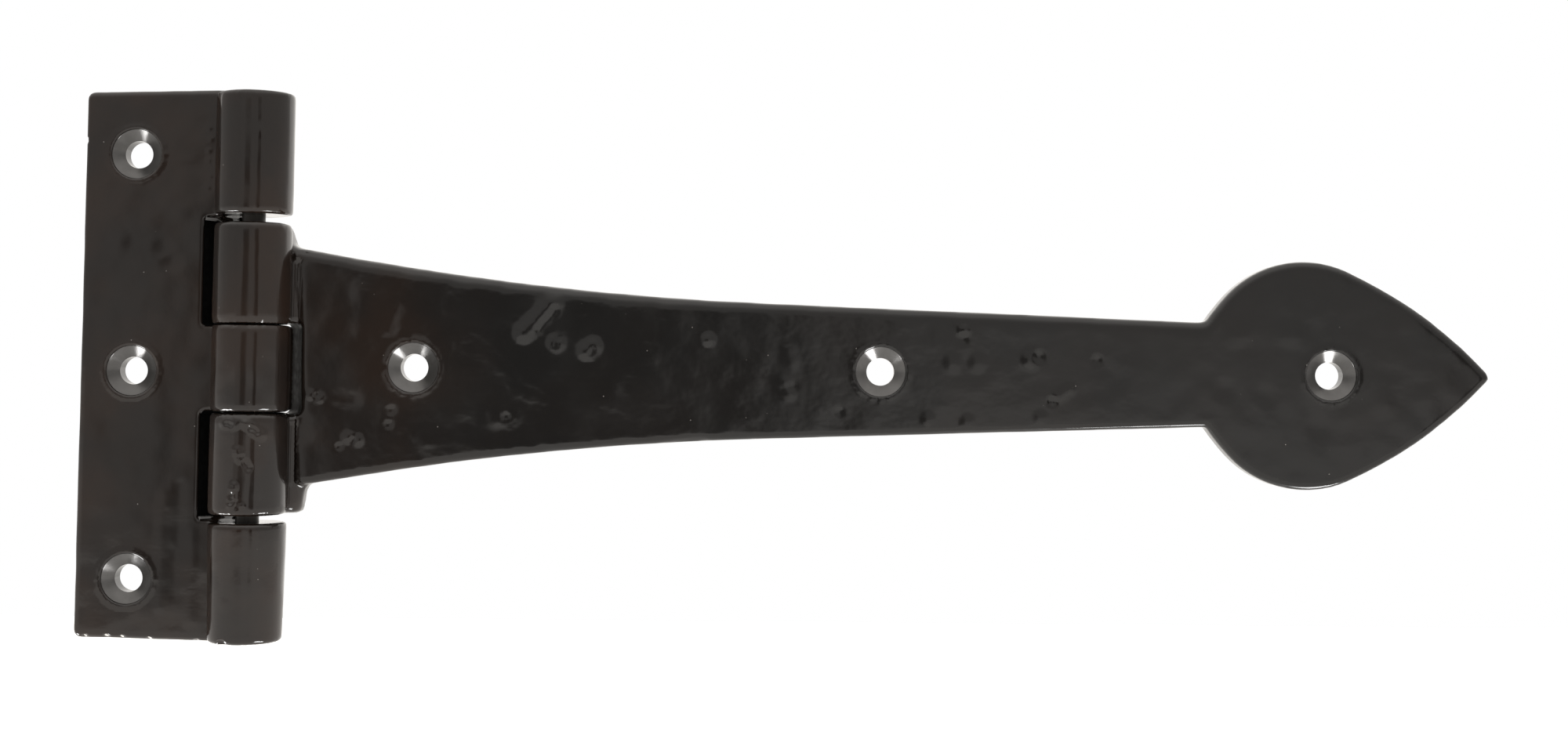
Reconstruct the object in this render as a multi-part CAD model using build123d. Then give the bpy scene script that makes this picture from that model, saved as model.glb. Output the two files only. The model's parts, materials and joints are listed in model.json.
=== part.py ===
from build123d import *
import math
import os

# A cast tee hinge for a plank door: an upright frame leaf, a long strap with a spear head,
# and a plain steel pin through five knuckles. All sizes are in millimetres.
# +Z runs up along the pin and +X along the strap. The back faces that lie on the frame
# and the door are in the plane y = 0, and the fronts look towards -Y.
# The origin is midway between the frame leaf's top and bottom screw holes.

# Plates
plate_thickness = 6.0
edge_round = 1.1            # soft cast edge round every front face
back_break = 0.3            # small break along the back edges

# Frame leaf
leaf_edge_to_screws = 11.1
screws_to_pin = 26.5
leaf_height_outer = 118.1   # along the free edge
leaf_height_inner = 119.8   # at the barrel
leaf_rise = 0.5             # the plate's middle stands this much above the screws' middle
leaf_corner_round = 1.6
leaf_screw_spacing = 92.0   # top hole to bottom hole
middle_screw_drop = 1.15    # the middle hole sits a little low

# Screw holes
screw_hole_radius = 3.0
countersink_radius = 5.7
countersink_angle = 90.0
rim_round = 0.35            # the coating softens each countersink's rim

# Pin and knuckles
pin_radius = 2.5
running_clearance = 0.05    # between the pin and the strap's knuckles
pin_recess = 0.4            # the pin stops just inside both end knuckles
barrel_radius = 8.3
barrel_top = 59.0
frame_knuckle_top = 26.4
gap_top = 1.8
strap_knuckle_upper = 21.5
gap_upper = 0.7
frame_knuckle_middle = 18.25
gap_lower = 0.5
strap_knuckle_lower = 21.6
gap_bottom = 1.6
frame_knuckle_bottom = 25.4
bottom_end_radius = 7.8     # the lowest knuckle tapers to this at its end
knuckle_break = 0.5         # the knuckles' rims are eased
leaf_pocket_radius = 11.7   # hollows in the frame leaf beside the strap's knuckles
strap_pocket_radius = 10.6  # hollow in the strap beside the middle knuckle
pocket_corner_round = 1.0

# Chip out of the rim of the lowest knuckle
chip_radius = 1.8
chip_height = 1.4           # how far it reaches up from the rim
chip_bearing = 24.0         # degrees from straight ahead, towards the frame leaf

# Strap, measured from the pin's axis
root_top = 9.25             # where the raised face starts, at its top corner
root_bottom = 10.7          # and at its bottom corner
web_thickness = 4.5         # the lower web that joins the raised face to the knuckles
shoulder_top = 6.4          # the web's reach at its top end
shoulder_bottom = 10.3      # and at its bottom end
shoulder_round = 1.5
heel_top = 7.9              # where the web meets the raised face's edges
heel_bottom = 11.1
heel_lip = 0.3              # it starts just outside them and runs out along them
heel_round_top = 0.6
heel_round_bottom = 2.5
web_lap = 5.0               # how far the web runs on inside the raised face
flare_end = 110.0
flare_end_width = 29.5
flare_radius = 677.0
neck_width = 22.7
head_length = 40.4          # from the middle of the head's arcs to its tip
head_lift = 2.3             # the head's upper arc is centred this far above the strap's middle
head_radius = 22.5
head_flank_radius = 92.7
head_shoulder_radius = 54.0
head_shoulder_bearing = 47.5
strap_reach = 268.2
tip_round = 1.3
root_screw = 34.5
head_screw = 5.6            # measured from the middle of the head's arcs, towards the tip
middle_screw_shift = 1.85   # the middle hole sits a little nearer the head

# Places worked out from the sizes above
pin_x = screws_to_pin
pin_y = -barrel_radius
front_y = -plate_thickness
countersink_depth = (countersink_radius - screw_hole_radius) / math.tan(math.radians(countersink_angle / 2))
leaf_knuckle_1 = (barrel_top - frame_knuckle_top, barrel_top)
strap_knuckle_2 = (leaf_knuckle_1[0] - gap_top - strap_knuckle_upper, leaf_knuckle_1[0] - gap_top)
leaf_knuckle_3 = (strap_knuckle_2[0] - gap_upper - frame_knuckle_middle, strap_knuckle_2[0] - gap_upper)
strap_knuckle_4 = (leaf_knuckle_3[0] - gap_lower - strap_knuckle_lower, leaf_knuckle_3[0] - gap_lower)
leaf_knuckle_5 = (strap_knuckle_4[0] - gap_bottom - frame_knuckle_bottom, strap_knuckle_4[0] - gap_bottom)
head_centre = strap_reach - head_length
last_screw = head_centre + head_screw
strap_screws = (root_screw, (root_screw + last_screw) / 2 + middle_screw_shift, last_screw)
shoulder_bearing = math.radians(head_shoulder_bearing)
shoulder_spread = head_shoulder_radius - head_radius
shoulder_x = head_centre + shoulder_spread * math.sin(shoulder_bearing)
shoulder_z = head_lift - shoulder_spread * math.cos(shoulder_bearing)
neck_x = shoulder_x - math.sqrt(head_shoulder_radius**2 - (neck_width / 2 - shoulder_z) ** 2)
flank_spread = head_flank_radius - head_radius
tip_distance = math.hypot(head_length, head_lift)
flank_cosine = (flank_spread**2 + tip_distance**2 - head_flank_radius**2) / (2 * flank_spread * tip_distance)
flank_bearing = math.acos(flank_cosine) + math.atan2(head_lift, head_length)
flank_x = head_centre + flank_spread * math.cos(flank_bearing)
flank_z = head_lift - flank_spread * math.sin(flank_bearing)
taper = math.atan2((flare_end_width - neck_width) / 2, neck_x - flare_end)
flare_x = flare_end + flare_radius * math.sin(taper)
flare_z = flare_end_width / 2 + flare_radius * math.cos(taper)


def on_pin(radius, span, end_radius=None):
    """A round bar on the pin's axis over a span of heights, tapering down to end_radius."""
    low, high = span
    foot = end_radius or radius
    profile = make_face(Polyline((0, low), (foot, low), (radius, high), (0, high), close=True).edges())
    bar = revolve(Plane.XZ * profile, Axis.Z)
    return Pos(pin_x, pin_y, 0) * bar


def knuckle(span, end_radius=None):
    """One barrel knuckle with eased rims."""
    bar = on_pin(barrel_radius, span, end_radius)
    return chamfer(bar.edges().filter_by(GeomType.CIRCLE), knuckle_break)


def plate(outline, thickness):
    """A flat casting from its outline in X and Z, with its back in the plane y = 0."""
    return extrude(Plane.XZ * make_face(outline), thickness)


def soften(solid):
    """Round the front edges of a plate and break its back edges."""
    solid = fillet(solid.faces().sort_by(Axis.Y)[0].edges(), edge_round)
    return chamfer(solid.faces().sort_by(Axis.Y)[-1].edges(), back_break)


def round_corners(solid, corners, radius):
    """Round a plate's upright edges that stand at these corners of its outline."""
    chosen = []
    for x, z in corners:
        upright = solid.edges().filter_by(Axis.Y)
        chosen.append(min(upright, key=lambda edge: math.dist((edge.center().X, edge.center().Z), (x, z))))
    return fillet(chosen, radius)


def screw_hole(x, z):
    """The space of one countersunk screw hole, with its rim rounded into the front face."""
    bore = Pos(x, 0, z) * Rot(90, 0, 0) * Cylinder(screw_hole_radius, 4 * plate_thickness)
    mouth = countersink_radius + rim_round
    cone = Cone(screw_hole_radius, countersink_radius, countersink_depth)
    lip = Cone(countersink_radius - rim_round / 2, mouth, rim_round / 2)
    place = Pos(x, front_y, z) * Rot(90, 0, 0)
    cone = place * Pos(0, 0, -countersink_depth / 2) * cone
    lip = place * Pos(0, 0, -rim_round / 4) * lip
    return bore + cone + lip


def arc_about(start, end, centre):
    """The short arc from start to end about a centre."""
    start, end, centre = Vector(start), Vector(end), Vector(centre)
    radius = (start - centre).length
    middle = centre + ((start + end) / 2 - centre).normalized() * radius
    return ThreePointArc(start, middle, end)


def make_pocket(radius, span):
    """The hollow that lets the other leaf's knuckle turn, with rounded corners."""
    hollow = on_pin(radius, span)
    return fillet(hollow.edges().filter_by(GeomType.CIRCLE), pocket_corner_round)


def make_frame_leaf():
    inner = leaf_height_inner / 2
    outer = leaf_height_outer / 2
    lower = (-leaf_edge_to_screws, leaf_rise - outer)
    upper = (-leaf_edge_to_screws, leaf_rise + outer)
    outline = Polyline(lower, (pin_x, leaf_rise - inner), (pin_x, leaf_rise + inner), upper, close=True)
    body = plate(outline.edges(), plate_thickness)
    body = round_corners(body, (lower, upper), leaf_corner_round)
    body = soften(body)
    for span in (leaf_knuckle_1, leaf_knuckle_3):
        body += knuckle(span)
    body += knuckle(leaf_knuckle_5, bottom_end_radius)
    for upper, lower in ((leaf_knuckle_1, leaf_knuckle_3), (leaf_knuckle_3, leaf_knuckle_5)):
        body -= make_pocket(leaf_pocket_radius, (lower[1], upper[0]))
    for z in (leaf_screw_spacing / 2, -middle_screw_drop, -leaf_screw_spacing / 2):
        body -= screw_hole(0, z)
    bearing = math.radians(chip_bearing)
    chip_x = pin_x - bottom_end_radius * math.sin(bearing)
    chip_y = pin_y - bottom_end_radius * math.cos(bearing)
    chip_z = leaf_knuckle_5[0] + chip_height - chip_radius
    body -= Pos(chip_x, chip_y, chip_z) * Sphere(chip_radius)
    body -= on_pin(pin_radius, (leaf_knuckle_5[0] - 1, leaf_knuckle_1[1] + 1))
    return body


def flare_half(reach):
    """Half the strap's height in its flare, at a distance from the pin's axis."""
    return flare_z - math.sqrt(flare_radius**2 - (flare_x - reach) ** 2)


def strap_outline():
    """The closed outline of the strap's raised face: flare, taper, round head and spear tip."""
    shoulder_join_x = head_centre - head_radius * math.sin(shoulder_bearing)
    shoulder_join_z = head_lift + head_radius * math.cos(shoulder_bearing)
    flank_join_x = head_centre - head_radius * math.cos(flank_bearing)
    flank_join_z = head_lift + head_radius * math.sin(flank_bearing)
    edges = []
    for side, root in ((1, root_top), (-1, root_bottom)):
        start = (pin_x + root, side * flare_half(root))
        flare = (pin_x + flare_end, side * flare_end_width / 2)
        neck = (pin_x + neck_x, side * neck_width / 2)
        shoulder = (pin_x + shoulder_join_x, side * shoulder_join_z)
        flank = (pin_x + flank_join_x, side * flank_join_z)
        tip = (pin_x + strap_reach, 0)
        edges.append(arc_about(start, flare, (pin_x + flare_x, side * flare_z)))
        edges.append(Line(flare, neck))
        edges.append(arc_about(neck, shoulder, (pin_x + shoulder_x, side * shoulder_z)))
        edges.append(arc_about(shoulder, flank, (pin_x + head_centre, side * head_lift)))
        edges.append(arc_about(flank, tip, (pin_x + flank_x, side * flank_z)))
        if side == 1:
            top_start = start
        else:
            edges.append(Line(start, top_start))
    return edges


def make_web():
    """The web between the strap's knuckles and its raised face."""
    low = strap_knuckle_4[0]
    high = strap_knuckle_2[1]
    top_heel = (pin_x + heel_top, flare_half(heel_top) + heel_lip)
    top_lap = (pin_x + heel_top + web_lap, flare_half(heel_top + 2 * web_lap))
    bottom_heel = (pin_x + heel_bottom, -flare_half(heel_bottom) - heel_lip)
    bottom_lap = (pin_x + heel_bottom + web_lap, -flare_half(heel_bottom + 2 * web_lap))
    top_shoulder = (pin_x + shoulder_top, high)
    bottom_shoulder = (pin_x + shoulder_bottom, low)
    upper = [top_lap, top_heel, top_shoulder, (pin_x, high)]
    lower = [(pin_x, low), bottom_shoulder, bottom_heel, bottom_lap]
    web = plate(Polyline(*upper, *lower, close=True).edges(), web_thickness)
    web = round_corners(web, (top_heel,), heel_round_top)
    web = round_corners(web, (bottom_heel,), heel_round_bottom)
    web = round_corners(web, (top_shoulder, bottom_shoulder), shoulder_round)
    front = web.faces().sort_by(Axis.Y)[0]
    rim = front.edges().filter_by_position(Axis.X, pin_x + 1, bottom_lap[0] + 1)
    return fillet(rim, edge_round)


def make_strap():
    blade = plate(strap_outline(), plate_thickness)
    blade = round_corners(blade, ((pin_x + strap_reach, 0),), tip_round)
    blade = soften(blade)
    body = blade + make_web()
    for span in (strap_knuckle_2, strap_knuckle_4):
        body += knuckle(span)
    body -= make_pocket(strap_pocket_radius, (strap_knuckle_4[1], strap_knuckle_2[0]))
    for x in strap_screws:
        body -= screw_hole(pin_x + x, 0)
    body -= on_pin(pin_radius + running_clearance, (strap_knuckle_4[0] - 1, strap_knuckle_2[1] + 1))
    return body


def make_pin():
    span = (leaf_knuckle_5[0] + pin_recess, leaf_knuckle_1[1] - pin_recess)
    return on_pin(pin_radius, span)


os.makedirs("parts", exist_ok=True)
pieces = {"frame_leaf": make_frame_leaf(), "strap": make_strap(), "hinge_pin": make_pin()}
for name, solid in pieces.items():
    export_step(solid, f"parts/{name}.step")
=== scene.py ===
# %% [markdown]
# # A cast tee hinge with a spear-shaped end
#
# The hinge is three pieces: an upright frame leaf, a long strap, and a pin through five barrel
# knuckles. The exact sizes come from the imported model. What is left for Blender is what a casting
# looks like up close: soft edges, a rippled gloss coat, blisters, pits and chipped corners.

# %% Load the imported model
import json
import math

import bpy
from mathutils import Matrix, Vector

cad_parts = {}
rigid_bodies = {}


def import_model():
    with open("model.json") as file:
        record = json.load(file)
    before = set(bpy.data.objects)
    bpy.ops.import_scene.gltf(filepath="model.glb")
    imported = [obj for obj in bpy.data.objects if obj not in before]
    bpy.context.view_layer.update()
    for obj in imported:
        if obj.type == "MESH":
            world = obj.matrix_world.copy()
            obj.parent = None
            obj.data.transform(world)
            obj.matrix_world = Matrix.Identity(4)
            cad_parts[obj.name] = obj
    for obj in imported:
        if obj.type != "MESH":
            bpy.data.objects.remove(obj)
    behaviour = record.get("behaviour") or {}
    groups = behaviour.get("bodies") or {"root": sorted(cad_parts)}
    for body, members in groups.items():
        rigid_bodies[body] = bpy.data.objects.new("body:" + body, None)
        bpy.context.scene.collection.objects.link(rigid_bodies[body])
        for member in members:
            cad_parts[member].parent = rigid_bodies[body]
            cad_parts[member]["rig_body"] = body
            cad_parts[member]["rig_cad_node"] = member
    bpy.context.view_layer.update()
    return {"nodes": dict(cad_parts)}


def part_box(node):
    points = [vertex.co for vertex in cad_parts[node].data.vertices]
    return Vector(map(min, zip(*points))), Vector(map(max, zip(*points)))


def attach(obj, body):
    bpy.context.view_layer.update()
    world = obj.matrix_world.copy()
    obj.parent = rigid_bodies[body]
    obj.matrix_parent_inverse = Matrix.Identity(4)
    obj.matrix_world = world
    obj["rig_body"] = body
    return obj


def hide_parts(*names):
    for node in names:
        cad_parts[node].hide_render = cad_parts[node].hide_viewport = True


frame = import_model()
mm = 0.001

# %% [markdown]
# ## Sizes that the three pieces share
#
# The pin's axis stands at x = 26.5 mm, and the barrel touches the back plane y = 0, so the axis is
# one barrel radius in front of it. The fronts of both plates lie 6 mm in front of the back plane.

# %% Shared sizes, in millimetres
PIN_X, PIN_Y = 26.5, -8.3
BARREL_RADIUS = 8.3
BARREL_FOOT = 7.8
FRONT_Y = -6.0
PIN_RADIUS = 2.5
HOLE_RADIUS = 3.0
SINK_RADIUS = 5.7
LEAF_KNUCKLES = [(32.6, 59.0), (-9.65, 8.6), (-58.75, -33.35)]
STRAP_KNUCKLES = [(9.3, 30.8), (-31.75, -10.15)]
LEAF_HOLES = [(0.0, 46.0), (0.0, -1.15), (0.0, -46.0)]
STRAP_HOLES = [(61.0, 0.0), (162.3, 0.0), (259.9, 0.0)]
print("barrel from", LEAF_KNUCKLES[-1][0], "to", LEAF_KNUCKLES[0][1], "mm")

# %% [markdown]
# ## Working on one object at a time
#
# Every operator acts on all that is selected, so each step starts by selecting just one object.
# Inside a mesh, points are selected by their place or by the way their skin faces, as a modeller
# would box-select them in the viewport.


# %% Selecting and finishing modifiers
def pick(piece):
    bpy.ops.object.select_all(action="DESELECT")
    piece.select_set(True)
    bpy.context.view_layer.objects.active = piece


def edit(piece, *steps):
    """Enter edit mode, run the operators given as functions, and leave it again."""
    pick(piece)
    bpy.ops.object.mode_set(mode="EDIT")
    for step in steps:
        step()
    bpy.ops.object.mode_set(mode="OBJECT")


def select_points(piece, wanted):
    """Select the points that pass a test on place and normal, in millimetres, and nothing else."""
    edit(piece, lambda: bpy.ops.mesh.select_all(action="DESELECT"))
    chosen = [wanted(point.co / mm, point.normal) for point in piece.data.vertices]
    piece.data.vertices.foreach_set("select", chosen)
    return sum(chosen)


def apply_modifier(piece, kind, **settings):
    pick(piece)
    modifier = piece.modifiers.new(kind.lower(), kind)
    for name, value in settings.items():
        setattr(modifier, name, value)
    bpy.ops.object.modifier_apply(modifier=modifier.name)


# %% [markdown]
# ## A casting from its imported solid
#
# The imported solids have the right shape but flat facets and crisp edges, which a gloss coat would
# show at once. A copy is merged and joined with finely divided knuckles, so that the barrel is
# truly round, and discs plug the screw holes until they are cut at the end. Boolean unions would
# also join them, but they stumble where faces lie in each other. So a voxel Remesh fuses it all
# under an even skin of small squares, and Shrinkwrap pulls that skin back onto the exact faces,
# because a remesh alone leaves little steps on slopes.


# %% Copying a node
def copy_of(node, name):
    pick(frame["nodes"][node])
    bpy.ops.object.duplicate()
    piece = bpy.context.active_object
    bpy.ops.object.parent_clear(type="CLEAR_KEEP_TRANSFORM")
    piece.name = piece.data.name = name
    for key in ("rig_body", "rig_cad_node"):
        if key in piece:
            del piece[key]
    piece.data.materials.clear()
    bpy.ops.mesh.customdata_custom_splitnormals_clear()
    edit(piece, lambda: bpy.ops.mesh.select_all(action="SELECT"),
         lambda: bpy.ops.mesh.remove_doubles(threshold=1e-6))
    return piece


leaf = copy_of("frame_leaf", "frame_leaf_casting")
strap = copy_of("strap", "strap_casting")
print("leaf points:", len(leaf.data.vertices), "strap points:", len(strap.data.vertices))


# %% A finely divided knuckle
def round_knuckle(low, high, foot=BARREL_RADIUS):
    bpy.ops.object.select_all(action="DESELECT")
    bpy.ops.mesh.primitive_cylinder_add(
        vertices=192, radius=BARREL_RADIUS * mm, depth=(high - low) * mm,
        location=(PIN_X * mm, PIN_Y * mm, (low + high) / 2 * mm))
    knuckle = bpy.context.active_object
    bpy.ops.object.transform_apply(location=True, rotation=True, scale=True)
    apply_modifier(knuckle, "BEVEL", width=0.5 * mm, segments=3, angle_limit=math.radians(60))
    select_points(knuckle, lambda place, facing: place.z < low + 2)
    narrow = foot / BARREL_RADIUS
    edit(knuckle, lambda: bpy.ops.transform.resize(
        value=(narrow, narrow, 1), center_override=(PIN_X * mm, PIN_Y * mm, 0)))
    return knuckle


def plug(x, z):
    """A disc that fills a screw hole for now, so that the hole can be cut clean at the end."""
    bpy.ops.object.select_all(action="DESELECT")
    bpy.ops.mesh.primitive_cylinder_add(
        vertices=64, radius=(SINK_RADIUS + 1) * mm, depth=-FRONT_Y * mm,
        location=(x * mm, FRONT_Y / 2 * mm, z * mm), rotation=(math.radians(90), 0, 0))
    disc = bpy.context.active_object
    bpy.ops.object.transform_apply(location=True, rotation=True, scale=True)
    return disc


def join(piece, extras):
    pick(piece)
    for extra in extras:
        extra.select_set(True)
    bpy.ops.object.join()


join(leaf, [round_knuckle(low, high, BARREL_FOOT if low < -50 else BARREL_RADIUS)
            for low, high in LEAF_KNUCKLES] + [plug(x, z) for x, z in LEAF_HOLES])
join(strap, [round_knuckle(low, high) for low, high in STRAP_KNUCKLES] +
     [plug(x, z) for x, z in STRAP_HOLES])
print("with knuckles:", len(leaf.data.vertices), len(strap.data.vertices))


# %% One even skin
def even_skin(piece, voxel):
    pick(piece)
    bpy.ops.object.duplicate()
    exact = bpy.context.active_object
    apply_modifier(piece, "REMESH", mode="VOXEL", voxel_size=voxel * mm)
    apply_modifier(piece, "SHRINKWRAP", target=exact, wrap_method="NEAREST_SURFACEPOINT")
    bpy.data.objects.remove(exact)
    apply_modifier(piece, "SMOOTH", factor=0.5, iterations=3)
    print(piece.name, "skin points:", len(piece.data.vertices))


LEAF_VOXEL, STRAP_VOXEL = 0.42, 0.53
even_skin(leaf, LEAF_VOXEL)
even_skin(strap, STRAP_VOXEL)

# %% [markdown]
# ## Softer rims and edges
#
# The rims of the knuckles are rounded by about a millimetre, and the strap's upper edge by more. A
# Bevel would need clean edge loops, which a remeshed skin doesn't have. So those points are picked
# by the way they face and smoothed on their own, and the flats stay flat.


# %% Smoothing only some points
def soften(piece, wanted, rounds, grow=0):
    select_points(piece, wanted)
    edit(piece, *[lambda: bpy.ops.mesh.select_more()] * grow)
    group = piece.vertex_groups.new(name="soft")
    piece.vertex_groups.active = group
    edit(piece, lambda: bpy.ops.object.vertex_group_assign())
    apply_modifier(piece, "SMOOTH", factor=0.5, iterations=rounds, vertex_group="soft")
    piece.vertex_groups.clear()


def from_axis(place):
    return math.hypot(place.x - PIN_X, place.y - PIN_Y)


def near_rim(knuckles, reach):
    ends = [end for knuckle in knuckles for end in knuckle]
    return lambda place, facing: (
        abs(from_axis(place) - BARREL_RADIUS) < 1.2 and min(abs(place.z - end) for end in ends) < reach)


RIM_REACH = 1.3
soften(leaf, near_rim(LEAF_KNUCKLES, RIM_REACH), 8)
soften(strap, near_rim(STRAP_KNUCKLES, RIM_REACH), 6)
print("rims softened")


# %% Soft edges of the plates
def on_top_edge(place, facing):
    return place.y < -2.5 and place.x > 34 and facing.z > 0.25


def on_blade_top(place, facing):
    return place.y < -4.5 and 36 < place.x < 232 and facing.z > 0.15


def on_low_edge(place, facing):
    return place.y < -4.5 and place.x > 34 and facing.z < -0.25


def on_leaf_edge(place, facing):
    return place.y < -3.5 and place.x < 12 and abs(facing.y) < 0.97


soften(strap, on_top_edge, 14, grow=2)
soften(strap, on_blade_top, 14, grow=3)
soften(strap, on_low_edge, 2)
soften(leaf, on_leaf_edge, 4, grow=1)
print("edges softened")

# %% [markdown]
# ## Narrower gaps
#
# In the photograph no light comes through the two narrow gaps of the barrel. The end faces on both
# sides are moved towards each other by up to a quarter of a millimetre, which leaves them clear.


# %% Narrower gaps
def move_ends(piece, level, shift):
    """Move one knuckle's end face along the pin."""
    up = 1 if shift > 0 else -1
    select_points(piece, lambda place, facing: (
        from_axis(place) < BARREL_RADIUS + 0.2 and abs(place.z - level) < 0.35 and facing.z * up > 0.3))
    edit(piece, lambda: bpy.ops.transform.translate(value=(0, 0, shift * mm)))


UPPER_SHIFT, LOWER_SHIFT = 0.27, 0.17
middle_low, middle_high = LEAF_KNUCKLES[1]
upper_low, lower_high = STRAP_KNUCKLES[0][0], STRAP_KNUCKLES[1][1]
move_ends(strap, upper_low, -UPPER_SHIFT)
move_ends(leaf, middle_high, UPPER_SHIFT)
move_ends(leaf, middle_low, -LOWER_SHIFT)
move_ends(strap, lower_high, LOWER_SHIFT)
print("gaps left in mm:", round(upper_low - middle_high - 2 * UPPER_SHIFT, 2),
      round(middle_low - lower_high - 2 * LOWER_SHIFT, 2))

# %% [markdown]
# ## The marks of this casting
#
# Lumps, pits and chips are made as by hand: a few points are picked and moved with proportional
# editing, so that their neighbours follow less and less. Height is towards the front, along -Y.
# Each mark is where the photograph shows it, given as x and z in millimetres.


# %% Moving a spot
from mathutils.kdtree import KDTree


def front_tree(piece):
    """The points that face the front, to find the one nearest to a place on the picture."""
    points = piece.data.vertices
    tree = KDTree(len(points))
    for point in points:
        if point.normal.y < -0.25:
            tree.insert((point.co.x, 0, point.co.z), point.index)
    tree.balance()
    return tree


def whole_tree(piece):
    points = piece.data.vertices
    tree = KDTree(len(points))
    for point in points:
        tree.insert(point.co, point.index)
    tree.balance()
    return tree


def drag(piece, indices, move, reach, falloff="SMOOTH"):
    edit(piece, lambda: bpy.ops.mesh.select_all(action="DESELECT"))
    for index in indices:
        piece.data.vertices[index].select = True
    edit(piece, lambda: bpy.ops.transform.translate(
        value=Vector(move) * mm, use_proportional_edit=True,
        proportional_edit_falloff=falloff, proportional_size=reach * mm))


def mark(piece, tree, height, reach, *places, falloff="SMOOTH"):
    indices = {tree.find(Vector((x, 0, z)) * mm)[1] for x, z in places}
    drag(piece, indices, (0, -height, 0), reach, falloff)


def line(start, end, steps):
    return [(start[0] + (end[0] - start[0]) * i / steps, start[1] + (end[1] - start[1]) * i / steps)
            for i in range(steps + 1)]


strap_front, leaf_front = front_tree(strap), front_tree(leaf)
print("trees over the front skins are ready")

# %% [markdown]
# The strap has the most marks: one long blister with a groove, round bumps beside it, and pits and
# soft dents towards the knuckles. Each row gives a height, the reach of the proportional edit, and
# the places. A negative height is a pit.

# %% Marks on the strap
STRAP_MARKS = [
    (0.34, 3.2, line((85.2, 7.8), (90.8, 13.8), 8)),
    (-0.26, 1.3, line((88.0, 8.4), (91.6, 12.8), 10)),
    (0.30, 2.7, [(92.0, 5.7)]),
    (-0.20, 1.0, line((91.7, 5.0), (92.3, 6.6), 4)),
    (0.26, 2.7, line((98.4, 3.8), (99.8, 4.8), 3)),
    (-0.14, 1.0, line((99.4, 3.2), (99.9, 4.4), 3)),
    (0.12, 3.6, line((79.0, -10.8), (83.0, -9.6), 4)),
    (-0.18, 1.4, [(81.4, -10.5)]),
    (0.24, 1.9, [(47.6, -15.2), (49.6, -15.6)]),
    (-0.24, 1.0, [(48.5, -15.6), (45.2, -17.0)]),
    (0.18, 1.8, [(39.2, -6.0), (41.2, -6.6)]),
    (-0.26, 1.0, [(40.3, -6.2)]),
    (-0.12, 3.0, line((44.6, -6.4), (48.0, -7.4), 4)),
    (-0.18, 1.6, [(56.6, -9.4), (55.8, -12.4)]),
    (-0.12, 2.8, line((56.9, 12.4), (55.3, 8.2), 4)),
    (0.05, 2.2, line((70.6, 5.4), (73.8, 3.7), 6)),
    (0.05, 2.2, line((73.6, 6.6), (76.4, 5.0), 6)),
    (0.06, 3.2, line((77.4, 2.6), (83.2, -2.8), 9)),
    (-0.05, 3.2, line((76.0, 0.0), (81.0, -4.6), 9)),
    (0.06, 2.8, line((83.6, -4.8), (88.8, -6.8), 8)),
    (-0.05, 3.0, line((87.0, -1.6), (93.0, -4.0), 8)),
    (-0.12, 2.4, line((37.4, -11.4), (37.8, -15.2), 5)),
    (0.08, 4.0, [(64.0, -16.0), (69.5, 13.5), (104.0, -6.0), (112.0, 3.0), (50.0, 16.0)]),
    (-0.08, 4.0, [(73.0, -13.0), (63.0, 9.0), (108.0, -4.0), (118.0, -2.0), (46.0, 8.0)]),
    (0.22, 2.0, [(124.6, 6.4)]),
    (0.07, 2.4, line((142.2, 4.6), (142.8, 1.8), 5)),
    (0.10, 2.2, [(141.2, -2.4), (142.4, -4.8)]),
    (-0.10, 1.6, [(143.4, -3.2), (153.5, -9.0)]),
    (0.24, 1.7, [(180.6, 9.2)]),
    (-0.14, 2.0, [(180.0, 7.2)]),
    (0.12, 2.8, [(183.0, 1.8), (177.6, 1.6)]),
    (0.20, 2.8, [(194.6, 2.8)]),
    (-0.24, 2.0, [(196.4, 3.2)]),
    (-0.34, 1.3, [(199.8, -5.9)]),
    (0.14, 1.7, line((200.8, -5.0), (203.0, -3.4), 3)),
    (-0.16, 1.5, [(209.0, 2.9)]),
    (0.12, 2.2, [(172.3, -10.4), (181.0, -10.8), (196.8, -10.0)]),
    (-0.07, 3.6, [(236.4, -3.6), (245.4, -4.7), (256.7, -11.4)]),
    (0.07, 4.0, [(251.0, 9.0), (271.0, -6.0), (240.0, 8.0)]),
]
for height, reach, places in STRAP_MARKS:
    mark(strap, strap_front, height, reach, *places)
print("strap marks:", len(STRAP_MARKS))

# %% [markdown]
# The lower strap knuckle has a run of blisters down its front, where gas came out of the coat or
# the sand broke away: two loops, a trough and a drop.

# %% Blisters on the lower knuckle
select_points(strap, lambda place, facing: 21 < place.x < 33 and -33 < place.z < -9.5 and place.y < -13)
edit(strap, lambda: bpy.ops.mesh.subdivide(number_cuts=1))
strap_front = front_tree(strap)
KNUCKLE_MARKS = [
    (0.28, 1.5, line((23.0, -12.1), (25.6, -12.4), 6)),
    (-0.42, 0.8, line((23.7, -12.2), (24.9, -12.4), 4)),
    (0.30, 1.6, line((27.9, -12.2), (31.0, -14.6), 8)),
    (-0.46, 0.9, line((28.8, -12.9), (30.3, -14.1), 5)),
    (0.16, 1.0, line((25.9, -11.2), (27.5, -11.8), 4)),
    (0.26, 1.4, line((26.2, -17.8), (27.0, -19.6), 5)),
    (-0.30, 1.1, line((27.2, -19.4), (28.6, -21.4), 5)),
    (0.30, 1.3, line((25.7, -25.2), (25.1, -29.4), 10)),
    (-0.46, 0.75, line((25.3, -27.0), (25.1, -28.9), 5)),
    (0.12, 1.0, [(27.5, -29.3), (26.2, -30.6)]),
]
for height, reach, places in KNUCKLE_MARKS:
    mark(strap, strap_front, height, reach, *places)
print("knuckle marks:", len(KNUCKLE_MARKS))

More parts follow.
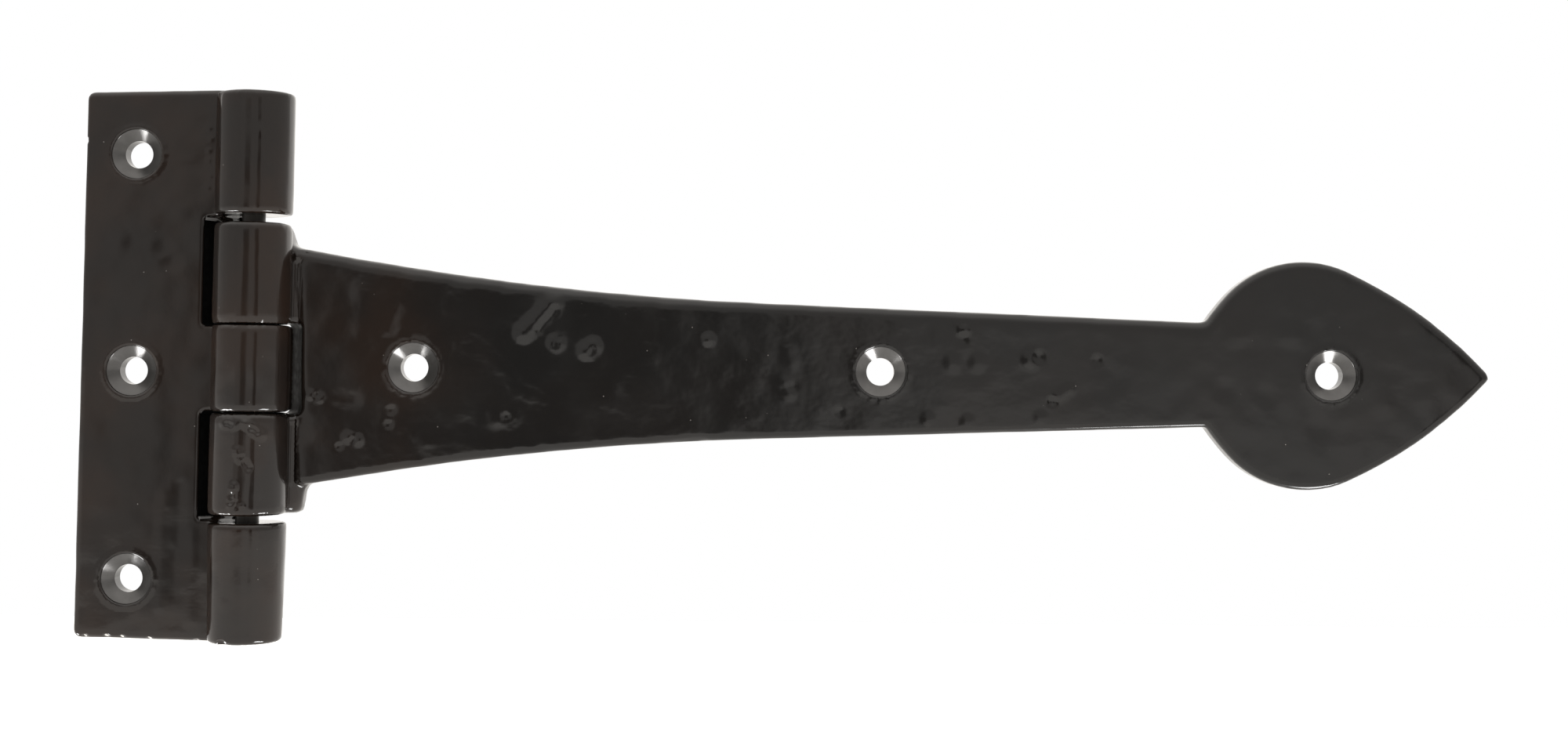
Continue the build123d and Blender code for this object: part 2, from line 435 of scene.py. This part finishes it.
# %% [markdown]
# The leaf is smoother: two soft dents, faint runs of the coat towards the bottom, a bead of coat
# along the barrel, and small nicks in its outer edges.

# %% Marks on the leaf
LEAF_MARKS = [
    (-0.07, 3.4, [(6.3, 25.2), (8.0, 22.3)]),
    (0.05, 3.2, [(3.4, 31.0), (10.0, 33.0), (-3.0, 27.0)]),
    (-0.05, 2.2, line((11.3, -25.9), (10.6, -49.4), 24)),
    (0.04, 2.0, line((7.6, -28.0), (7.2, -52.0), 24)),
    (0.04, 2.0, line((14.2, -36.0), (14.0, -55.0), 20)),
    (0.06, 0.8, [(15.7, 52.0), (16.0, 49.3), (15.8, 46.9), (15.9, 44.6), (16.1, 41.4), (15.8, 38.9)]),
    (0.08, 2.0, [(24.0, -50.0), (29.5, 50.0), (23.0, 40.0)]),
]
for height, reach, places in LEAF_MARKS:
    mark(leaf, leaf_front, height, reach, *places)

leaf_skin, strap_skin = whole_tree(leaf), whole_tree(strap)
LEAF_NICKS = [((-11.0, -5.2, 49.0), 0.9, (0.5, 0.3, 0)), ((-8.4, -5.4, -58.4), 0.9, (0, 0.3, 0.45)),
              ((-3.9, -5.5, -58.5), 1.1, (0, 0.3, 0.5)), ((-0.5, -5.5, -58.5), 0.8, (0, 0.3, 0.4)),
              ((5.4, -5.5, -59.0), 0.8, (0, 0.3, 0.45)), ((15.5, -5.5, -59.2), 0.8, (0, 0.3, 0.4))]
for place, reach, move in LEAF_NICKS:
    drag(leaf, [leaf_skin.find(Vector(place) * mm)[1]], move, reach)
print("leaf marks:", len(LEAF_MARKS), "nicks:", len(LEAF_NICKS))

# %% [markdown]
# ## Lips, valleys and shoulders
#
# Between the knuckles the casting has small lips at the back, where the mould's halves met. They
# close the view through the gaps, and stay clear of everything that turns: the one on the middle
# knuckle lies inside the round pocket of the strap, at any angle of the strap.

# %% Lips at the back of the gaps
def column(x, y, low, high, step=1.0):
    count = int((high - low) / step)
    return [(x, y, low + step * i) for i in range(count + 1)]


def pull(piece, tree, places, move, reach):
    drag(piece, {tree.find(Vector(place) * mm)[1] for place in places}, move, reach)


pull(strap, strap_skin, column(33.1, -0.3, -9.0, 8.5), (-0.25, 0, 0), 1.2)
pull(leaf, leaf_skin, column(33.3, -3.54, -9.0, 8.0), (0.98, 0.69, 0), 1.7)
across_gap = (19.0, 20.5, 22.0, 23.5)
pull(leaf, leaf_skin, [(x, -1.6, 32.6) for x in across_gap], (0, 0, -1.4), 2.6)
pull(leaf, leaf_skin, [(x, -1.6, -33.35) for x in across_gap], (0, 0, 1.2), 2.6)
print("lips made")

# %% [markdown]
# Beside the strap's own knuckles the blade comes closer to the barrel, and only a narrow valley is
# left. At the shoulders the flank of the barrel runs over into them without a step.

# %% Valleys and shoulders
pull(strap, strap_skin, column(36.2, -5.8, 11.0, 24.5), (-0.3, 0, 0), 2.4)
pull(strap, strap_skin, column(37.4, -5.8, -24.5, -11.5), (-1.3, 0, 0), 2.4)
pull(strap, strap_skin, column(35.0, -4.6, 10.6, 29.8, 0.5), (0, -1.8, 0), 2.2)
pull(strap, strap_skin, column(35.0, -4.6, -30.8, -11.2, 0.5), (0, -1.8, 0), 2.2)


def on_shoulder(place, facing):
    return 33.8 < place.x < 38.0 and place.y < -3 and (25.5 < place.z < 31 or -32 < place.z < -25.5)


soften(strap, on_shoulder, 6)
print("valleys filled")

# %% [markdown]
# The coat has crept up a little round each countersink and stands there as a faint ring.

# %% Rings of coat
RING_HEIGHT, RING_REACH = 0.12, 0.9
for piece, holes in ((leaf, LEAF_HOLES), (strap, STRAP_HOLES)):
    for x, z in holes:
        select_points(piece, lambda place, facing: (
            facing.y < -0.9 and 5.7 < math.hypot(place.x - x, place.z - z) < 6.1))
        edit(piece, lambda: bpy.ops.transform.translate(
            value=(0, -RING_HEIGHT * mm, 0), use_proportional_edit=True,
            proportional_edit_falloff="SMOOTH", proportional_size=RING_REACH * mm))
print("rings raised by", RING_HEIGHT, "mm")

# %% [markdown]
# Last, the whole skin gets the slow waviness of sand-cast iron with the Displace modifier and a
# cloud texture, a few hundredths of a millimetre deep.

# %% Slow waves
WAVE_LENGTH, WAVE_HEIGHT = 9, 0.16
waves = bpy.data.textures.new("slow_waves", "CLOUDS")
waves.noise_scale = WAVE_LENGTH * mm
waves.noise_depth = 1
for piece in (leaf, strap):
    apply_modifier(piece, "DISPLACE", texture=waves, texture_coords="LOCAL",
                   strength=WAVE_HEIGHT * mm, mid_level=0.5)
print("waves of", WAVE_HEIGHT, "mm added")

# %% [markdown]
# ## Holes and the pin's bore
#
# The screw holes are cut last, so that their cones stay crisp under the coat. The cutter is a
# profile spun round the hole's axis: a straight bore, a cone, a short steep step that gives the
# dark ring, and a small flare, which becomes the rounded rim. The cone is a touch flatter than the
# packed one, since the coat fills its foot. The Boolean modifier takes the cutter out of the skin.


# %% Cutting with spun profiles
def spun(profile, axis, center, steps):
    """A closed solid from a profile of (radius, distance along the axis) pairs, in millimetres."""
    bpy.ops.object.select_all(action="DESELECT")
    mesh = bpy.data.meshes.new("spun")
    along = Vector(axis)
    across = Vector((1, 0, 0))
    points = [(Vector(center) + across * radius + along * far) * mm for radius, far in profile]
    mesh.from_pydata(points, [(i, i + 1) for i in range(len(points) - 1)], [])
    solid = bpy.data.objects.new("spun", mesh)
    bpy.context.scene.collection.objects.link(solid)
    edit(solid, lambda: bpy.ops.mesh.select_all(action="SELECT"),
         lambda: bpy.ops.mesh.spin(steps=steps, angle=math.tau, center=Vector(center) * mm, axis=along),
         lambda: bpy.ops.mesh.select_all(action="SELECT"),
         lambda: bpy.ops.mesh.remove_doubles(threshold=1e-6),
         lambda: bpy.ops.mesh.normals_make_consistent(inside=False))
    return solid


def cut(piece, solid):
    apply_modifier(piece, "BOOLEAN", operation="DIFFERENCE", object=solid, solver="EXACT")
    bpy.data.objects.remove(solid)


CONE_ANGLE = math.radians(52)


def screw_hole(piece, x, z):
    sink = (SINK_RADIUS - HOLE_RADIUS) / math.tan(CONE_ANGLE)
    front = -FRONT_Y
    profile = [(0, -2), (HOLE_RADIUS + 0.25, -2), (HOLE_RADIUS + 0.25, 0.1), (HOLE_RADIUS, 0.4),
               (HOLE_RADIUS, front - sink), (SINK_RADIUS - 0.40, front - 0.50),
               (SINK_RADIUS - 0.26, front - 0.38), (SINK_RADIUS - 0.20, front - 0.10),
               (SINK_RADIUS - 0.04, front + 0.03), (SINK_RADIUS + 0.22, front + 0.12),
               (SINK_RADIUS + 0.5, front + 0.25), (SINK_RADIUS + 0.5, front + 3), (0, front + 3)]
    cut(piece, spun(profile, (0, -1, 0), (x, 0, z), 128))


for piece, holes in ((leaf, LEAF_HOLES), (strap, STRAP_HOLES)):
    for x, z in holes:
        screw_hole(piece, x, z)
    print(piece.name, "points with holes:", len(piece.data.vertices))

# %% [markdown]
# The lowest knuckle has a chip out of its foot, a ball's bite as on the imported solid. The pin's
# bores are cut a little wider than the pin, wider in the strap, which turns on it.

# %% Chip and bores
CHIP_BEARING, CHIP_RADIUS = math.radians(24), 1.8
chip = (PIN_X - BARREL_FOOT * math.sin(CHIP_BEARING), PIN_Y - BARREL_FOOT * math.cos(CHIP_BEARING),
        LEAF_KNUCKLES[-1][0] - 0.4)
arc = [(CHIP_RADIUS * math.sin(math.radians(a)), -CHIP_RADIUS * math.cos(math.radians(a)))
       for a in range(0, 181, 10)]
cut(leaf, spun(arc, (0, 0, 1), chip, 48))
for piece, clear in ((leaf, 0.1), (strap, 0.15)):
    radius = PIN_RADIUS + clear
    bore = [(0, -70), (radius, -70), (radius, 70), (0, 70)]
    cut(piece, spun(bore, (0, 0, 1), (PIN_X, PIN_Y, 0), 96))
for piece in (leaf, strap):
    piece.data.calc_loop_triangles()
    print(piece.name, "triangles:", len(piece.data.loop_triangles))

# %% [markdown]
# ## The gloss coat
#
# The casting is dipped in black. The coat is a dark dielectric, so nearly all that one sees in it is
# the room. Its colour leans to brown near the knuckles, where the layer is thin. Its roughness varies a
# little, and two sizes of ripple in the bump bend the reflections. All patterns read Object
# coordinates, so they stay on the metal when the strap swings.


# %% Small helpers for node trees
class Tree:
    def __init__(self, material):
        material.use_nodes = True
        self.nodes, self.links = material.node_tree.nodes, material.node_tree.links
        self.shader = self.nodes["Principled BSDF"]
        self.place = self.nodes.new("ShaderNodeTexCoord").outputs["Object"]

    def put(self, socket, value):
        if isinstance(value, bpy.types.NodeSocket):
            self.links.new(value, socket)
        else:
            socket.default_value = value

    def math(self, operation, *values):
        node = self.nodes.new("ShaderNodeMath")
        node.operation = operation
        for socket, value in zip(node.inputs, values):
            self.put(socket, value)
        return node.outputs[0]

    def vector_math(self, operation, *values, out="Vector"):
        node = self.nodes.new("ShaderNodeVectorMath")
        node.operation = operation
        for socket, value in zip(node.inputs, values):
            self.put(socket, value)
        return node.outputs[out]

    def between(self, value, low, high, to_low=0.0, to_high=1.0):
        node = self.nodes.new("ShaderNodeMapRange")
        node.interpolation_type = "SMOOTHSTEP"
        self.put(node.inputs["Value"], value)
        for name, number in zip(("From Min", "From Max", "To Min", "To Max"), (low, high, to_low, to_high)):
            node.inputs[name].default_value = number
        return node.outputs["Result"]

    def noise(self, scale, detail=2.0, stretch=(1, 1, 1), shift=(0, 0, 0)):
        mapping = self.nodes.new("ShaderNodeMapping")
        mapping.inputs["Scale"].default_value = stretch
        mapping.inputs["Location"].default_value = shift
        self.links.new(self.place, mapping.inputs["Vector"])
        node = self.nodes.new("ShaderNodeTexNoise")
        node.inputs["Scale"].default_value = scale
        node.inputs["Detail"].default_value = detail
        self.links.new(mapping.outputs["Vector"], node.inputs["Vector"])
        return node.outputs["Fac"]

    def mix(self, factor, first, second):
        node = self.nodes.new("ShaderNodeMix")
        node.data_type = "RGBA"
        self.put(node.inputs["Factor"], factor)
        self.put(node.inputs["A"], first)
        self.put(node.inputs["B"], second)
        return node.outputs["Result"]

    def bump(self, height, distance, before=None):
        node = self.nodes.new("ShaderNodeBump")
        node.inputs["Strength"].default_value = 1.0
        node.inputs["Distance"].default_value = distance
        self.put(node.inputs["Height"], height)
        if before is not None:
            self.links.new(before, node.inputs["Normal"])
        return node.outputs["Normal"]

    def axis(self, index):
        node = self.nodes.new("ShaderNodeSeparateXYZ")
        self.links.new(self.place, node.inputs["Vector"])
        return node.outputs[index]


# %% Colours and specks of the coat
BLACK = (0.0052, 0.0051, 0.0050, 1)
BROWN = (0.0150, 0.0088, 0.0060, 1)
DUST = (0.16, 0.15, 0.14, 1)
BARE = (0.75, 0.73, 0.70, 1)


def brown_black(tree, across, until):
    """Black, with brown blotches that fade out beyond a place along the strap."""
    blotches = tree.between(tree.noise(55, 3), 0.35, 0.7, 0.35, 1.0)
    fading = tree.between(across, until * mm, (until + 40) * mm, 1.0, 0.15)
    return tree.mix(tree.math("MULTIPLY", blotches, fading), BLACK, BROWN)


def dust_specks(tree):
    """A few round specks of dust: the cells of a Voronoi pattern, nearly all of them left out."""
    dots = tree.nodes.new("ShaderNodeTexVoronoi")
    dots.inputs["Scale"].default_value = 420
    tree.links.new(tree.place, dots.inputs["Vector"])
    few = tree.nodes.new("ShaderNodeSeparateColor")
    tree.links.new(dots.outputs["Color"], few.inputs["Color"])
    return tree.math("MULTIPLY", tree.between(dots.outputs["Distance"], 0.03, 0.07, 1.0, 0.0),
                     tree.between(few.outputs[0], 0.86, 0.9))


def bare_metal(tree, spots):
    """1 inside any of the spots, where a knock has taken the coat off."""
    bare = None
    for spot, size in spots:
        far = tree.vector_math("DISTANCE", tree.place, spot * mm, out="Value")
        near = tree.between(far, size * 0.7 * mm, size * mm, 1.0, 0.0)
        bare = near if bare is None else tree.math("MAXIMUM", bare, near)
    return bare


# %% Ripples and the finished coat
def ripples(tree, across, start, end):
    strength = tree.math(
        "MULTIPLY", tree.between(across, start * mm, (start + 20) * mm, 0.25, 1.0),
        tree.between(across, (end - 60) * mm, end * mm, 1.0, 0.3))
    slow = tree.bump(tree.math("MULTIPLY", strength, tree.noise(170, 2, (1, 1, 1.3))), 0.00011)
    return tree.bump(tree.noise(1300, 1), 0.000003, slow)


def coat_material(name, brown_until, ripple_start, ripple_end, nicks=()):
    tree = Tree(bpy.data.materials.new(name))
    shader = tree.shader
    shader.inputs["IOR"].default_value = 1.5
    across = tree.axis(0)
    colour = tree.mix(dust_specks(tree), brown_black(tree, across, brown_until), DUST)
    rough = tree.between(tree.noise(90, 3), 0.3, 0.7, 0.08, 0.15)
    if nicks:
        bare = bare_metal(tree, nicks)
        colour = tree.mix(bare, colour, BARE)
        tree.put(shader.inputs["Metallic"], bare)
        rough = tree.math("ADD", rough, tree.math("MULTIPLY", bare, 0.2))
    tree.put(shader.inputs["Base Color"], colour)
    tree.put(shader.inputs["Roughness"], rough)
    tree.put(shader.inputs["Normal"], ripples(tree, across, ripple_start, ripple_end))


bare_spots = [(Vector(place) + Vector(move), 0.45 + 0.1 * reach) for place, reach, move in LEAF_NICKS]
coat_material("gloss_black_coat_leaf", 30, 60, 160, bare_spots)
coat_material("gloss_black_coat_strap", 45, 35, 210)
print("coats:", [m.name for m in bpy.data.materials if m.name.startswith("gloss")])

# %% [markdown]
# Deep in the pockets beside the barrel hardly any light arrives. Those faces, and the end faces
# in the two narrow gaps, get a second material that paints this shade in: nearly black and matt,
# with a weak reflection, in the leaf's pockets, and a little paler in the strap's. They are picked
# by their distance from the pin's axis.

# %% Painted shade in the pockets
def painted_shade_material(name, low, high, specular, smooth, rough):
    tree = Tree(bpy.data.materials.new(name))
    tree.put(tree.shader.inputs["Base Color"], tree.mix(tree.noise(400, 3), low, high))
    tree.put(tree.shader.inputs["Roughness"], tree.between(tree.noise(700, 2), 0.3, 0.7, smooth, rough))
    tree.shader.inputs["Specular IOR Level"].default_value = specular
    tree.put(tree.shader.inputs["Normal"], tree.bump(tree.noise(900, 2), 0.00001))


def in_pocket(place, levels):
    return (8.6 < from_axis(place) < 12.3 and -5.75 < place.y < -0.4
            and any(low - 0.9 < place.z < high + 0.9 for low, high in levels))


# The end faces in the two narrow gaps get the painted shade as well.
def on_end(face):
    """The faces that look into the two narrow gaps."""
    place = face.center / mm
    return (from_axis(place) < BARREL_RADIUS - 0.6 and abs(face.normal.z) > 0.9
            and any(abs(place.z - level) < 0.5 for level in (9.0, -9.9)))


# Painted shade: both materials darken the pockets and gap ends with colour and a weak reflection, in place
# of the shade that falls there.
painted_shade_material("painted_shade_in_pockets", (0.0002, 0.0002, 0.0003, 1), (0.0008, 0.0007, 0.0007, 1),
                0.03, 0.8, 0.95)
painted_shade_material("paler_painted_shade_in_pocket", (0.006, 0.005, 0.004, 1), (0.014, 0.011, 0.009, 1),
                0.25, 0.4, 0.6)
# Faces in the pockets and the gap ends take the painted shade as their second material.
for piece, own, painted_shade_name, levels in (
        (leaf, "gloss_black_coat_leaf", "painted_shade_in_pockets", STRAP_KNUCKLES),
        (strap, "gloss_black_coat_strap", "paler_painted_shade_in_pocket", LEAF_KNUCKLES[1:2])):
    piece.data.materials.append(bpy.data.materials[own])
    piece.data.materials.append(bpy.data.materials[painted_shade_name])
    inside = [in_pocket(face.center / mm, levels) or on_end(face) for face in piece.data.polygons]
    piece.data.polygons.foreach_set("material_index", [int(flag) for flag in inside])
    print(piece.name, "faces in pockets:", sum(inside))

# %% [markdown]
# The cones of the screw holes were turned after casting. Their coat is thinner and shows more of the
# metal, so they flash brighter than the plates round them.

# %% The coat on the cones
cone_tree = Tree(bpy.data.materials.new("thin_coat_on_cones"))
cone_tree.put(cone_tree.shader.inputs["Base Color"], cone_tree.mix(
    cone_tree.noise(260, 3), (0.05, 0.048, 0.046, 1), (0.13, 0.127, 0.125, 1)))
cone_tree.shader.inputs["Metallic"].default_value = 0.55
cone_tree.put(cone_tree.shader.inputs["Roughness"], cone_tree.between(
    cone_tree.noise(500, 2), 0.3, 0.7, 0.14, 0.22))
cone_tree.put(cone_tree.shader.inputs["Normal"], cone_tree.bump(cone_tree.noise(400, 2), 0.00001))


def on_cone(face, holes):
    place = face.center / mm
    return -5.6 < place.y < -2 and 0.3 < -face.normal.y < 0.93 and any(
        math.hypot(place.x - x, place.z - z) < SINK_RADIUS - 0.3 for x, z in holes)


for piece, holes in ((leaf, LEAF_HOLES), (strap, STRAP_HOLES)):
    piece.data.materials.append(bpy.data.materials["thin_coat_on_cones"])
    cones = [face for face in piece.data.polygons if on_cone(face, holes)]
    for face in cones:
        face.material_index = 2
    print(piece.name, "faces on cones:", len(cones))

# %% [markdown]
# ## The pin
#
# The pin is a plain rod, black like the rest, and shows only in the gaps between knuckles and at
# its two ends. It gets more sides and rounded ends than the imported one.

# %% The pin
bpy.ops.object.select_all(action="DESELECT")
pin_low, pin_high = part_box("hinge_pin")
bpy.ops.mesh.primitive_cylinder_add(
    vertices=96, radius=PIN_RADIUS * mm, depth=pin_high[2] - pin_low[2],
    location=(PIN_X * mm, PIN_Y * mm, (pin_high[2] + pin_low[2]) / 2))
pin = bpy.context.active_object
pin.name = pin.data.name = "hinge_pin_rod"
bpy.ops.object.transform_apply(location=True, rotation=True, scale=True)
apply_modifier(pin, "BEVEL", width=0.4 * mm, segments=4, angle_limit=math.radians(60))
pin_tree = Tree(bpy.data.materials.new("dark_pin_steel"))
pin_tree.put(pin_tree.shader.inputs["Base Color"], pin_tree.mix(
    pin_tree.noise(300, 3), (0.012, 0.011, 0.010, 1), (0.05, 0.045, 0.04, 1)))
pin_tree.shader.inputs["Metallic"].default_value = 0.6
pin_tree.put(pin_tree.shader.inputs["Roughness"], pin_tree.between(
    pin_tree.noise(500, 3, (1, 1, 0.1)), 0.3, 0.7, 0.25, 0.5))
pin_tree.put(pin_tree.shader.inputs["Normal"], pin_tree.bump(
    pin_tree.noise(900, 2, (1, 1, 0.15)), 0.00002))
pin.data.materials.append(bpy.data.materials["dark_pin_steel"])
print("pin length in mm:", round((pin_high[2] - pin_low[2]) / mm, 1))

# %% [markdown]
# ## Fixing each piece to its body
#
# Smooth shading by angle keeps the rims of the holes crisp and everything else soft. Each piece
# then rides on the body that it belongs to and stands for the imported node.

# %% Riding and replacing
for piece, body, node, slot in (
        (leaf, "frame_side", "frame_leaf", "black_casting"),
        (strap, "strap_side", "strap", "black_casting"),
        (pin, "frame_side", "hinge_pin", "black_pin")):
    pick(piece)
    bpy.ops.object.shade_smooth_by_angle(angle=math.radians(38))
    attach(piece, body)
    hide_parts(node)
    print(piece.name, "rides on", body)

# %% [markdown]
# ## Camera
#
# The photograph was taken square on from a little over 40 cm, aimed slightly up with a shifted
# view. These values were fitted to the holes and outlines.

# %% Camera
lens = bpy.data.cameras.new("photo_camera")
lens.sensor_width = 36
lens.lens = 46.08
lens.shift_y = -0.06805
camera = bpy.data.objects.new("photo_camera", lens)
bpy.context.scene.collection.objects.link(camera)
camera.location = (0.14117, -0.44102, -0.0011)
camera.rotation_euler = (math.radians(93.031), 0, 0)
camera.rotation_euler.rotate_axis("Z", math.radians(0.515))
bpy.context.scene.camera = camera
print("camera at", [round(v, 3) for v in camera.location])

# %% [markdown]
# ## The room
#
# A black gloss is a mirror of the room, so the room is what gives it its greys. An image of a studio
# would do it, but a few directions are enough: pale all round, brighter overhead and behind, a
# bright strip at the left, and the dark upright shapes of the camera's stand and a pole in front.
# The world's strength is worked out from the direction alone. Camera rays see plain white.

# %% A world of our own
world = bpy.data.worlds.new("studio")
bpy.context.scene.world = world
world.use_nodes = True
sky = world.node_tree
sky.nodes.clear()
towards = sky.nodes.new("ShaderNodeTexCoord").outputs["Generated"]


def sky_math(operation, *values):
    node = sky.nodes.new("ShaderNodeMath")
    node.operation = operation
    for socket, value in zip(node.inputs, values):
        if isinstance(value, (int, float)):
            socket.default_value = value
        else:
            sky.links.new(value, socket)
    return node.outputs[0]


def glow(direction, inner, outer):
    """1 within an angle of a direction, falling smoothly to 0 at the outer angle, in degrees."""
    dot = sky.nodes.new("ShaderNodeVectorMath")
    dot.operation = "DOT_PRODUCT"
    dot.inputs[1].default_value = Vector(direction).normalized()
    sky.links.new(towards, dot.inputs[0])
    fall = sky.nodes.new("ShaderNodeMapRange")
    fall.interpolation_type = "SMOOTHSTEP"
    fall.inputs["From Min"].default_value = math.cos(math.radians(outer))
    fall.inputs["From Max"].default_value = math.cos(math.radians(inner))
    sky.links.new(dot.outputs["Value"], fall.inputs["Value"])
    return fall.outputs["Result"]


# %% Bearings and blending
def heading(degrees, elevation=0):
    """The direction at a bearing from straight in front, towards +X, and an elevation."""
    turn, rise = math.radians(degrees), math.radians(elevation)
    return (math.sin(turn) * math.cos(rise), -math.cos(turn) * math.cos(rise), math.sin(rise))


def blend(base, other, factor):
    """base where factor is 0, other where it is 1."""
    gap = sky_math("SUBTRACT", other, base)
    return sky_math("ADD", base, sky_math("MULTIPLY", gap, factor))


def fall(value, inner, outer):
    """1 where the value is below inner, 0 past outer."""
    node = sky.nodes.new("ShaderNodeMapRange")
    node.interpolation_type = "SMOOTHSTEP"
    sky.links.new(value, node.inputs["Value"])
    for name, number in zip(("From Min", "From Max", "To Min", "To Max"), (inner, outer, 1.0, 0.0)):
        node.inputs[name].default_value = number
    return node.outputs["Result"]


# %% Shapes in the room
split = sky.nodes.new("ShaderNodeSeparateXYZ")
sky.links.new(towards, split.inputs["Vector"])
to_right, to_back, to_top = split.outputs
to_front = sky_math("MULTIPLY", to_back, -1.0)
forward = sky_math("MAXIMUM", to_front, 0.05)
slope = sky_math("DIVIDE", to_right, forward)
rise = sky_math("ABSOLUTE", sky_math("DIVIDE", to_top, forward))


def figure(degrees, inner, outer, low, high):
    """An upright shape in front of the hinge: its bearing, half widths and half heights as slopes."""
    beside = sky_math("ABSOLUTE", sky_math("SUBTRACT", slope, math.tan(math.radians(degrees))))
    return sky_math("MULTIPLY", fall(beside, inner, outer), fall(rise, low, high))


# %% The bright strip at the left
middle = fall(sky_math("ABSOLUTE", to_top), 0.15, 0.55)
side = sky_math("DIVIDE", to_front, sky_math("MAXIMUM", sky_math("MULTIPLY", to_right, -1.0), 0.05))
edge = sky_math("ABSOLUTE", sky_math("SUBTRACT", side, math.tan(math.radians(-19))))
edge = sky_math("MULTIPLY", fall(edge, 0.03, 0.09), fall(to_right, -0.8, -0.5))

# %% The room's levels
PALE_FLOOR, WALL, CEILING = 0.92, 0.60, 1.5
up = (0, 0, 1)
level = blend(PALE_FLOOR, WALL, glow(up, 89.3, 92.3))
level = blend(level, 0.62, figure(-20, 0.12, 0.25, 1, 2))
level = blend(level, CEILING, glow(up, 35, 80))
level = blend(level, 1.4, glow(heading(165), 30, 46))
level = blend(level, 0.12, glow(heading(-138), 18, 25))
level = blend(level, 1.8, sky_math("MULTIPLY", edge, middle))
level = blend(level, 1.2, glow(heading(-60, -38), 12, 38))
camera_stand = figure(-7.5, 0.08, 0.20, 0.07, 0.14)
level = blend(level, 0.16, camera_stand)
pole = figure(26, 0.075, 0.12, 0.06, 0.20)
level = blend(level, 0.10, pole)
print("room levels:", PALE_FLOOR, WALL, CEILING)

# %% Room light and white background
room = sky.nodes.new("ShaderNodeBackground")
room.inputs["Color"].default_value = (1.0, 0.97, 0.93, 1)
sky.links.new(level, room.inputs["Strength"])
white = sky.nodes.new("ShaderNodeBackground")
white.inputs["Color"].default_value = (1, 1, 1, 1)
white.inputs["Strength"].default_value = 1.0
path = sky.nodes.new("ShaderNodeLightPath")
choose = sky.nodes.new("ShaderNodeMixShader")
sky.links.new(path.outputs["Is Camera Ray"], choose.inputs["Fac"])
sky.links.new(room.outputs[0], choose.inputs[1])
sky.links.new(white.outputs[0], choose.inputs[2])
sky.links.new(choose.outputs[0], sky.nodes.new("ShaderNodeOutputWorld").inputs["Surface"])
print("world nodes:", len(sky.nodes))

# %% [markdown]
# ## Two soft lamps and the floor
#
# Two square lamps stand low on each side. They are what flashes in the rims of the knuckles, in
# the countersinks and along the spear's lower edge. The floor is white paper that keeps the
# object's soft shadow.


# %% Lamps
def lamp(name, place, size, power, aim):
    light = bpy.data.lights.new(name, "AREA")
    light.size = size
    light.energy = power
    holder = bpy.data.objects.new(name, light)
    bpy.context.scene.collection.objects.link(holder)
    holder.location = place
    holder.rotation_euler = (Vector(aim) - Vector(place)).to_track_quat("-Z", "Y").to_euler()


LAMP_SIZE, LAMP_WATTS = 0.20, 2.4
lamp("lamp_left", (-0.28, -0.06, -0.39), LAMP_SIZE, LAMP_WATTS, (0.05, 0, 0))
lamp("lamp_right", (0.36, -0.135, -0.39), LAMP_SIZE, LAMP_WATTS, (0.10, 0, 0))

# %% Floor
bpy.ops.object.select_all(action="DESELECT")
bpy.ops.mesh.primitive_plane_add(size=6, location=(0.12, 0, -0.42))
floor = bpy.context.active_object
floor.name = "floor"
paper = bpy.data.materials.new("white_paper")
paper_tree = Tree(paper)
paper_tree.shader.inputs["Base Color"].default_value = (0.85, 0.85, 0.84, 1)
paper_tree.shader.inputs["Roughness"].default_value = 0.8
rays = paper_tree.nodes.new("ShaderNodeLightPath")
shine = paper_tree.nodes.new("ShaderNodeEmission")
paper_tree.put(shine.inputs["Strength"], paper_tree.math("MULTIPLY", rays.outputs["Is Camera Ray"], 0.45))
both = paper_tree.nodes.new("ShaderNodeAddShader")
paper_tree.links.new(paper_tree.shader.outputs[0], both.inputs[0])
paper_tree.links.new(shine.outputs[0], both.inputs[1])
paper_tree.links.new(both.outputs[0], paper_tree.nodes["Material Output"].inputs["Surface"])
floor.data.materials.append(paper)
print("floor at z =", floor.location.z)

# %% [markdown]
# ## The size
#
# Blender doesn't change the hinge's size.

# %% Plain view transform
bpy.context.scene.view_settings.view_transform = "Standard"
